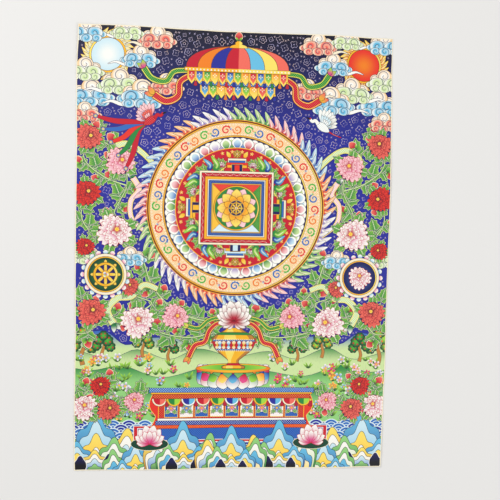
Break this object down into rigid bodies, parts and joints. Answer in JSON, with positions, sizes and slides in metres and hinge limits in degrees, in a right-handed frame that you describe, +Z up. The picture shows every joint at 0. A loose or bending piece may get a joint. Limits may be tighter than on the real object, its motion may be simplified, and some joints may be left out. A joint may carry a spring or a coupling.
{
  "type": "unmounted thangka painting on cloth",
  "caption": "Flat rectangular length of painted, primed cotton cloth with cut edges, lying face up.",
  "frame": {"origin": "middle of the cloth's footprint, on the surface that it lies on", "axes": "+Z up out of the painted side, +Y towards the head of the picture, +X towards its right side"},
  "size_m": [0.324, 0.452, 0.0024],
  "materials": {
    "thangka_cloth": "painted and primed cotton with a satin face and a bare back"
  },
  "bodies": {
    "root": {"thangka_cloth": "thangka_cloth"}
  },
  "joints": []
}
